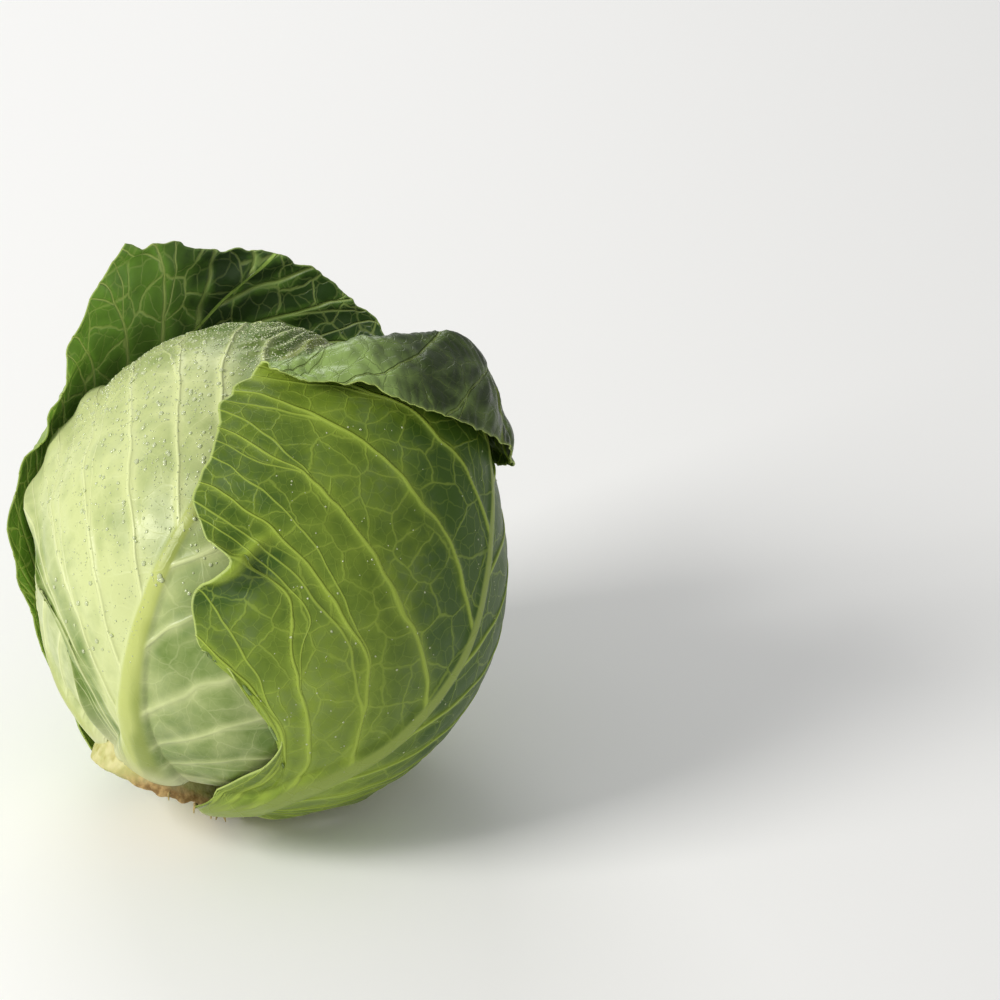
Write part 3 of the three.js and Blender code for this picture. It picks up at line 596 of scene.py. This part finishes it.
# Bloom is grey wax, deep is darker green inside the meshes, dim fades veins where the tone holds painted shade, bump is
# in millimetres
USUAL_LOOK = {"mesh": 12, "dim": 0.0, "gloss": 0.5}
LOOKS = {
    # Cream-green blade, smooth and a little glossy, with wide ribs and hardly any net
    "pale_leaf": {
        "pale": "#C8D191", "green": "#617D26", "vein": "#DDE5A6", "rib": "#B7C168", "rib_shade": "#8D9B43",
        "base": "#D2D4A6", "rim": "#C3CC82", "vein_strength": 0.6, "vein_width": 1.05, "rib_edge": 0.95,
        "net": 0.25, "deep": 0.1, "bloom": 0.1, "edge": 0.25, "roughness": 0.34, "bump": 0.3},
    # Yellow-green blade with painted shade darkening it to the right, with clear raised veins and a light rim
    "green_leaf_outside": {
        "pale": "#93AA3A", "green": "#3F5B18", "vein": "#A8BE4A", "rib": "#93A54A", "rim": "#BACB74",
        "vein_strength": 0.8, "vein_width": 1.35, "rib_edge": 0.8, "net": 0.42, "deep": 0.12, "bloom": 0.06,
        "edge": 0.8, "roughness": 0.4, "gloss": 0.3, "bump": 0.5},
    # Even mid green, seen only from behind
    "back_leaf_outside": {
        "pale": "#7F9A3B", "green": "#587A2C", "vein": "#A3B94A", "rib": "#93A54A", "rim": "#A9BB62",
        "vein_strength": 0.7, "vein_width": 1.2, "rib_edge": 0.8, "net": 0.4, "deep": 0.12, "bloom": 0.08,
        "edge": 0.4, "roughness": 0.4, "bump": 0.5},
    # Deep green inner face with a strong pale net sunk into it
    "dark_leaf_inside": {
        "pale": "#8AB84C", "green": "#2B441A", "vein": "#DAEC8A", "rib": "#A8C75E", "rim": "#9DBE58",
        "vein_strength": 0.85, "vein_width": 1.35, "rib_edge": 0.4, "net": 0.7, "mesh": 10, "dim": 0.6,
        "deep": 0.2, "bloom": 0.03, "edge": 0.15, "roughness": 0.38, "bump": -0.6},
    # Limp, damp inner face of the flap: dull olive with a wet shine and faint veins
    "wilted_leaf_inside": {
        "pale": "#8AA45A", "green": "#2A3B10", "vein": "#7F9144", "rib": "#84944A", "rim": "#93A556",
        "vein_strength": 0.55, "vein_width": 0.9, "rib_edge": 0.35, "net": 0.35, "deep": 0.2, "bloom": 0.03,
        "edge": 0.35, "roughness": 0.27, "bump": -1.0},
}


def cut_stem_material():
    """Cut cabbage stem, cream and fibrous where it is fresh and brown where it has dried."""
    material, tree, surface = start_material("cut_stem_flesh")
    brown, scar, dot = add(tree, "ShaderNodeSeparateXYZ", {
        0: add(tree, "ShaderNodeAttribute", attribute_name="stem").outputs["Vector"]}).outputs
    place = add(tree, "ShaderNodeTexCoord").outputs["Object"]
    grit = add(tree, "ShaderNodeTexNoise", {"Vector": place, "Scale": 1 / (3 * MM), "Detail": 6.0}).outputs[0]
    patch = add(tree, "ShaderNodeTexNoise", {"Vector": place, "Scale": 1 / (9 * MM), "Detail": 3.0}).outputs[0]
    flesh = mix(tree, fade(tree, patch, 0.35, 0.65), linear("#B9BA72"), linear("#D2CF94"))
    fresh = mix(tree, scar, flesh, mix(tree, fade(tree, patch, 0.4, 0.6), linear("#B9B870"), linear("#D3CE92")))
    strand = mix(tree, maths(tree, "MULTIPLY", dot, 0.75), fresh, linear("#A9A24E"))
    dry = mix(tree, fade(tree, grit, 0.35, 0.65), linear("#8A6A35"), linear("#C4A468"))
    share = maths(tree, "ADD", brown, maths(tree, "MULTIPLY_ADD", grit, 0.6))
    share.node.inputs[1].links[0].from_node.inputs[2].default_value = -0.3
    share.node.use_clamp = True
    tree.links.new(mix(tree, share, strand, dry), surface.inputs["Base Color"])
    surface.inputs["Roughness"].default_value = 0.62
    relief = maths(tree, "MULTIPLY_ADD", grit, 0.7)
    tree.links.new(patch, relief.node.inputs[2])
    bump = add(tree, "ShaderNodeBump", {"Height": relief, "Distance": 0.9 * MM, "Strength": 1.0})
    tree.links.new(bump.outputs[0], surface.inputs["Normal"])
    return material


def water_material():
    """Dew: partly clear, glossy water with a small highlight, whose pale base colour is painted light standing in for
    the lit leaf seen through the bead.
    """
    material, _, surface = start_material("dew_water")
    # painted light: the pale base colour stands in for the light seen through the bead
    surface.inputs["Base Color"].default_value = linear("#E4EDBE")
    surface.inputs["Roughness"].default_value = 0.04
    surface.inputs["IOR"].default_value = 1.33
    surface.inputs["Specular IOR Level"].default_value = 1.0
    surface.inputs["Transmission Weight"].default_value = 0.4
    return material


def ball(name, segments, rings):
    """A closed ball, with each vertex's unit direction in the head's own axes."""
    bpy.ops.object.select_all(action="DESELECT")
    bpy.ops.mesh.primitive_uv_sphere_add(segments=segments, ring_count=rings, radius=1)
    obj = bpy.context.object
    obj.name = name
    bpy.ops.object.shade_smooth()
    return obj, read_points(obj)


# The stem's outline from the middle of its cut to its hidden top: degrees from the cut's middle, radius, depth
STEM_PROFILE = [(0, 0, 85.6), (30, 8, 85.9), (62, 19, 86.2), (74, 23.6, 86.3), (82, 25.2, 85.2), (92, 26.2, 82.6),
                (112, 27.0, 79.5), (130, 25.5, 76), (150, 16, 74.6), (180, 0, 74.4)]
# Scars of outer leaves: degrees round the stem, distance from its axis, half the angle it takes up
SCARS = [(-56, 23.8, 30), (28, 24.6, 20), (100, 24.2, 18), (172, 24.6, 20), (-130, 24.2, 18)]


def build_stem(material):
    """The cut stem: a fibrous face with a dried ragged rim, and scars where outer leaves were snapped off."""
    obj, direction = ball("cut_stem", 180, 110)
    from_cut = np.degrees(np.arccos(np.clip(-direction[:, 2], -1, 1)))
    lam = np.degrees(np.arctan2(direction[:, 0], -direction[:, 1]))
    k = np.array(STEM_PROFILE)
    radius, depth = np.interp(from_cut, k[:, 0], k[:, 1]), np.interp(from_cut, k[:, 0], k[:, 2])
    side = smooth((from_cut - 70) / 10) * smooth((140 - from_cut) / 15)
    flat = np.stack([np.cos(np.radians(lam)) * 26, np.sin(np.radians(lam)) * 26, depth], axis=-1)
    scar, dots = np.zeros_like(lam), np.zeros_like(lam)
    for centre, reach, half_angle in SCARS:
        turn = np.radians((lam - centre + 180) % 360 - 180)
        facet = reach / np.maximum(np.cos(turn), 0.3)
        inside = smooth((half_angle * 1.5 - np.degrees(np.abs(turn))) / 12) * side
        radius = radius * (1 - inside) + np.minimum(radius, facet) * inside
        scar = np.maximum(scar, inside * smooth((depth - 78.5) / 1.5))
        across = np.degrees(turn) * 0.45
        for strand in (-8, -4.6, -1.4, 2.0, 5.2, 8):
            spot = np.hypot(across - strand, depth - 82.6 + 0.03 * strand**2) + 0.7 * value_noise(flat, 2.2, 36)
            dots = np.maximum(dots, smooth((1.2 - spot) / 0.9) * side)
    lobe = np.exp(-(((lam + 56) / 34) ** 2)) * smooth((from_cut - 60) / 18) * smooth((128 - from_cut) / 14)
    radius = radius + 6.5 * lobe + side * (0.5 * value_noise(flat, 7, 31) + 0.25 * value_noise(flat, 2.5, 32))
    rim = np.exp(-(((from_cut - 78) / 9) ** 2))
    ragged = smooth((lam + 40) / 30) * smooth((140 - lam) / 30)
    swell = np.exp(-(((lam + 45) / 60) ** 2)) * smooth(from_cut / 40) * smooth((120 - from_cut) / 30)
    torn = rim * ragged * (1.2 + 1.6 * value_noise(flat, 3.2, 33)) + 0.4 * rim * value_noise(flat, 1.4, 34)
    depth = depth + 4.2 * swell + torn
    face = smooth((70 - from_cut) / 20)
    on_face = np.stack([radius * flat[:, 0], radius * flat[:, 1], radius], axis=-1) / 26
    depth = depth + 0.35 * face * value_noise(on_face, 5, 35)
    round_stem = np.radians(lam)
    head = np.stack([radius * np.sin(round_stem), -radius * np.cos(round_stem), -depth], axis=-1)
    write_points(obj, to_part(head))
    brown = rim * (0.35 + 0.65 * ragged) + 0.45 * face + 0.6 * side * ragged * smooth((depth - 82.5) / 2)
    brown = brown * (1 - 0.8 * lobe)
    fibre_ring = np.exp(-(((radius - 17.5) / 1.6) ** 2)) * smooth((80 - from_cut) / 10)
    dots = np.maximum(dots, fibre_ring * (0.7 + 0.5 * value_noise(flat, 2.6, 37)))
    put_attribute(obj, "stem", brown, scar, dots)
    obj.data.materials.append(material)
    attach(obj, "root")
    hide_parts("stem")


FIBRES, FIBRES_IN_FRONT = 9, 5
FIBRE_RADIUS, FIBRE_TIP = 0.7, 0.2


def build_fibres(material):
    """Short dry strands that hang from the ragged rim of the cut."""
    random = np.random.default_rng(23)
    bpy.ops.object.select_all(action="DESELECT")
    strands = []
    for k in range(FIBRES):
        lam = random.uniform(5, 75) if k < FIBRES_IN_FRONT else random.uniform(100, 260)
        turn = math.radians(lam)
        start = to_part(np.array([25.0 * math.sin(turn), -25.0 * math.cos(turn), -87.5]))
        lean = np.array([0.5 * math.sin(turn), -0.5 * math.cos(turn), -1]) + random.uniform(-0.6, 0.6, 3)
        way = lean @ HEAD_AXES
        above_table = max(start[2] - 1.0, 1.0)
        reach = min(random.uniform(2.0, 4.5), above_table)
        bpy.ops.mesh.primitive_cone_add(vertices=8, radius1=FIBRE_RADIUS * MM, radius2=FIBRE_TIP * MM, depth=reach * MM,
                                        location=Vector((start + way / np.linalg.norm(way) * reach * 0.4) * MM),
                                        rotation=Vector(way).to_track_quat("Z", "Y").to_euler())
        strands.append(bpy.context.object)
    for strand in strands:
        strand.select_set(True)
    bpy.context.view_layer.objects.active = strands[0]
    bpy.ops.object.join()
    fibres = bpy.context.object
    fibres.name = "stem_fibres"
    bpy.ops.object.transform_apply(location=True, rotation=True, scale=True)
    bpy.ops.object.mode_set(mode="EDIT")
    bpy.ops.mesh.select_all(action="SELECT")
    bpy.ops.mesh.subdivide(number_cuts=2)
    bpy.ops.object.mode_set(mode="OBJECT")
    points = read_points(fibres) / MM
    points = points + 0.3 * np.stack([value_noise(points, 2.0, 51), value_noise(points, 2.0, 52),
                                      value_noise(points, 2.0, 53)], axis=-1)
    write_points(fibres, points)
    bpy.ops.object.shade_smooth()
    put_attribute(fibres, "stem", np.full(len(points), 0.75), np.zeros(len(points)), np.zeros(len(points)))
    fibres.data.materials.append(material)
    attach(fibres, "root")


def build_heart(material):
    """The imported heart: overlapping margins of its outer leaves, which turn round it from stem to crown."""
    obj, direction = ball("packed_heart", 180, 100)
    theta = np.degrees(np.arccos(np.clip(-direction[:, 2], -1, 1)))
    lam = np.degrees(np.arctan2(direction[:, 0], -direction[:, 1]))
    turn = (lam - HEART_TWIST * theta / 180) * HEART_LEAVES / 360
    share = turn - np.floor(turn)
    fade_out = np.sin(np.radians(theta)) ** 0.5
    radius = (HEART_RADIUS - HEART_STEP * share * fade_out) * head_shape(direction)
    radius = radius + 0.25 * value_noise(direction * 84, 12, 41) - 0.25
    points = direction * radius[:, None]
    points[:, 2] = np.maximum(points[:, 2], HEART_BOTTOM)
    points = to_part(points)
    points[:, 2] = np.maximum(points[:, 2], REST_HEIGHT[0])
    write_points(obj, points)
    zero = np.zeros_like(theta)
    s = np.minimum(share, 0.96)
    spacing = 16 + 300 * smooth((theta - 110) / 30)  # so wide at the crown that the veins thin out to nothing
    put_attribute(obj, "vein", theta / 16 - 3 * share + 12 + 0.2 * value_noise(direction * 84, 30, 42), s, spacing)
    put_attribute(obj, "fork", 0.4 * s, 1 - 0.35 * s, (1 - share) * 90)
    put_attribute(obj, "rib", zero + 90, zero + 3, 0.15 + 0.5 * smooth((theta - 100) / 60))
    from_crown = np.radians(180 - theta) * HEART_RADIUS
    put_attribute(obj, "flat", from_crown * np.sin(np.radians(lam)), from_crown * np.cos(np.radians(lam)),
                  0.9 * smooth((theta - 135) / 30))
    obj.data.materials.append(material)
    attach(obj, "root")
    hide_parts("heart")


DROP_TOP, DROP_FOOT = 0.62, 0.25  # how far a bead of radius 1 stands out of the blade, and sinks into it
LOWEST_BEAD = 1.0  # millimetres above the table


def one_drop(fineness):
    """Points and faces of one bead of water of radius 1, flattened where it sits."""
    bpy.ops.object.select_all(action="DESELECT")
    bpy.ops.mesh.primitive_ico_sphere_add(subdivisions=fineness, radius=1)
    obj = bpy.context.object
    points = read_points(obj)
    faces = np.array([list(f.vertices) for f in obj.data.polygons])
    points[:, 2] = np.where(points[:, 2] > 0, points[:, 2] * DROP_TOP, points[:, 2] * DROP_FOOT)
    bpy.ops.object.delete()
    return points, faces


def build_dew(name, leaf_name, drops, fineness, material):
    """Beads of dew on a leaf: each at u, v on the blade, with its radius in millimetres."""
    u, v, radii = drops
    surface, normal, _ = leaf_surface(leaf_name, u, v)
    points, faces = one_drop(fineness)
    side = np.cross(normal, np.array([0.3, 0.2, 0.93]))
    side /= np.maximum(length(side), 1e-9)[:, None]
    other = np.cross(normal, side)
    beads = (surface[:, None, :] + radii[:, None, None] * (
        points[None, :, :1] * side[:, None] + points[None, :, 1:2] * other[:, None]
        + points[None, :, 2:] * normal[:, None]))
    beads = beads[beads[:, :, 2].min(axis=1) > LOWEST_BEAD]
    count = len(beads)
    all_faces = (faces[None] + (np.arange(count) * len(points))[:, None, None]).reshape(-1, 3)
    mesh = bpy.data.meshes.new(name)
    mesh.from_pydata((beads.reshape(-1, 3) * MM).tolist(), [], all_faces.tolist())
    mesh.update()
    obj = bpy.data.objects.new(name, mesh)
    bpy.context.collection.objects.link(obj)
    select_only(obj)
    bpy.ops.object.mode_set(mode="EDIT")
    bpy.ops.mesh.select_all(action="SELECT")
    bpy.ops.mesh.normals_make_consistent(inside=False)
    bpy.ops.object.mode_set(mode="OBJECT")
    bpy.ops.object.shade_smooth()
    obj.data.materials.append(material)
    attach(obj, "root")


def scatter_dew(random, count, u_range, v_range, radius_range, rarity):
    """Places and radii of drops: the higher the rarity, the fewer are large."""
    u = random.uniform(*u_range, count)
    v = random.uniform(*v_range, count)
    small, large = radius_range
    return u, v, small + (large - small) * random.uniform(0, 1, count) ** rarity


# Camera: a long lens at the photograph's height, aimed so that the head lies left in the picture
CAMERA_ELEVATION = 30.0
CAMERA_DISTANCE = 2000.0
PIXELS_PER_MM = 241 / 90  # the closed head's radius is 241 pixels
PICTURE = 1000
HEAD_CENTRE_PIXEL = (263.1, 568.2)
SENSOR = 36.0  # millimetres


def place_camera():
    tilt = math.radians(CAMERA_ELEVATION)
    centre = Vector((0, 0, CENTRE_HEIGHT))
    towards = Vector((0, -math.cos(tilt), math.sin(tilt)))
    right, up = Vector((1, 0, 0)), Vector((0, math.sin(tilt), math.cos(tilt)))
    aim = centre + right * ((PICTURE / 2 - HEAD_CENTRE_PIXEL[0]) / PIXELS_PER_MM)
    aim += up * ((HEAD_CENTRE_PIXEL[1] - PICTURE / 2) / PIXELS_PER_MM)
    position = centre + towards * CAMERA_DISTANCE
    bpy.ops.object.camera_add(location=position * MM)
    camera = bpy.context.object
    camera.rotation_euler = (aim - position).to_track_quat("-Z", "Y").to_euler()
    camera.data.sensor_width = SENSOR
    camera.data.lens = PIXELS_PER_MM * CAMERA_DISTANCE * SENSOR / PICTURE
    camera.data.clip_end = 20
    bpy.context.scene.camera = camera


def area_light(name, place, size, watts, colour):
    """A soft box at a place in metres, turned towards the head."""
    bpy.ops.object.light_add(type="AREA", location=place)
    light = bpy.context.object
    light.name = name
    light.data.size = size
    light.data.energy = watts
    light.data.color = colour
    aim = Vector((0, 0, CENTRE_HEIGHT * MM)) - Vector(place)
    light.rotation_euler = aim.to_track_quat("-Z", "Y").to_euler()


def studio():
    area_light("key", (-1.35, -0.55, 1.15), 0.7, 25, (1, 0.985, 0.95))
    area_light("fill", (0.6, -1.6, 0.9), 1.2, 1.5, (0.98, 0.99, 1))
    area_light("back", (-0.2, 1.3, 1.1), 0.8, 6, (1, 1, 1))
    world = bpy.data.worlds.new("pale_studio")
    world.use_nodes = True
    world.node_tree.nodes["Background"].inputs[0].default_value = (1, 1, 1, 1)
    world.node_tree.nodes["Background"].inputs[1].default_value = 0.4
    bpy.context.scene.world = world
    bpy.context.scene.view_settings.view_transform = "Standard"
    bpy.ops.mesh.primitive_plane_add(size=12, location=(0, 0, 0))
    floor = bpy.context.object
    floor.name = "table"
    material, _, surface = start_material("pale_paper")  # matt, so that the head has only a soft shadow on it
    surface.inputs["Base Color"].default_value = linear("#FBFBFA")
    surface.inputs["Roughness"].default_value = 0.9
    floor.data.materials.append(material)


place_camera()
studio()
materials = {name: leaf_material(name, {**USUAL_LOOK, **look}) for name, look in LOOKS.items()}
for leaf_name, outer, inner, slot_name in (
    ("leaf_front", "pale_leaf", "pale_leaf", "pale_leaf"),
    ("leaf_right", "green_leaf_outside", "wilted_leaf_inside", "green_leaf"),
    ("leaf_back", "back_leaf_outside", "dark_leaf_inside", "dark_leaf"),
    ("leaf_left", "pale_leaf", "pale_leaf", "pale_leaf"),
    ("leaf_rear", "green_leaf_outside", "dark_leaf_inside", "green_leaf"),
    ("leaf_far_right", "pale_leaf", "pale_leaf", "pale_leaf"),
):
    build_leaf(leaf_name, materials[outer], materials[inner])
stem_flesh = cut_stem_material()
build_stem(stem_flesh)
build_fibres(stem_flesh)
build_heart(materials["pale_leaf"])

water = water_material()
chance = np.random.default_rng(7)
front_mist = np.hstack([scatter_dew(chance, 3000, (0.72, 0.99), (-0.7, 0.6), (0.24, 0.56), 1.5),
                        scatter_dew(chance, 1500, (0.5, 0.72), (-0.85, 0.3), (0.22, 0.5), 2),
                        scatter_dew(chance, 600, (0.3, 0.5), (-0.9, 0), (0.2, 0.4), 2)])
front_beads = np.hstack([scatter_dew(chance, 420, (0.42, 0.74), (-0.9, 0.15), (0.45, 1.1), 2.5),
                         scatter_dew(chance, 70, (0.2, 0.45), (-0.8, -0.1), (0.4, 1.1), 3)])
right_dew = scatter_dew(chance, 160, (0.2, 0.66), (-0.8, 0.3), (0.2, 0.5), 3)
build_dew("dew_mist_front", "leaf_front", front_mist, 1, water)
build_dew("dew_beads_front", "leaf_front", front_beads, 2, water)
build_dew("dew_right", "leaf_right", right_dew, 2, water)
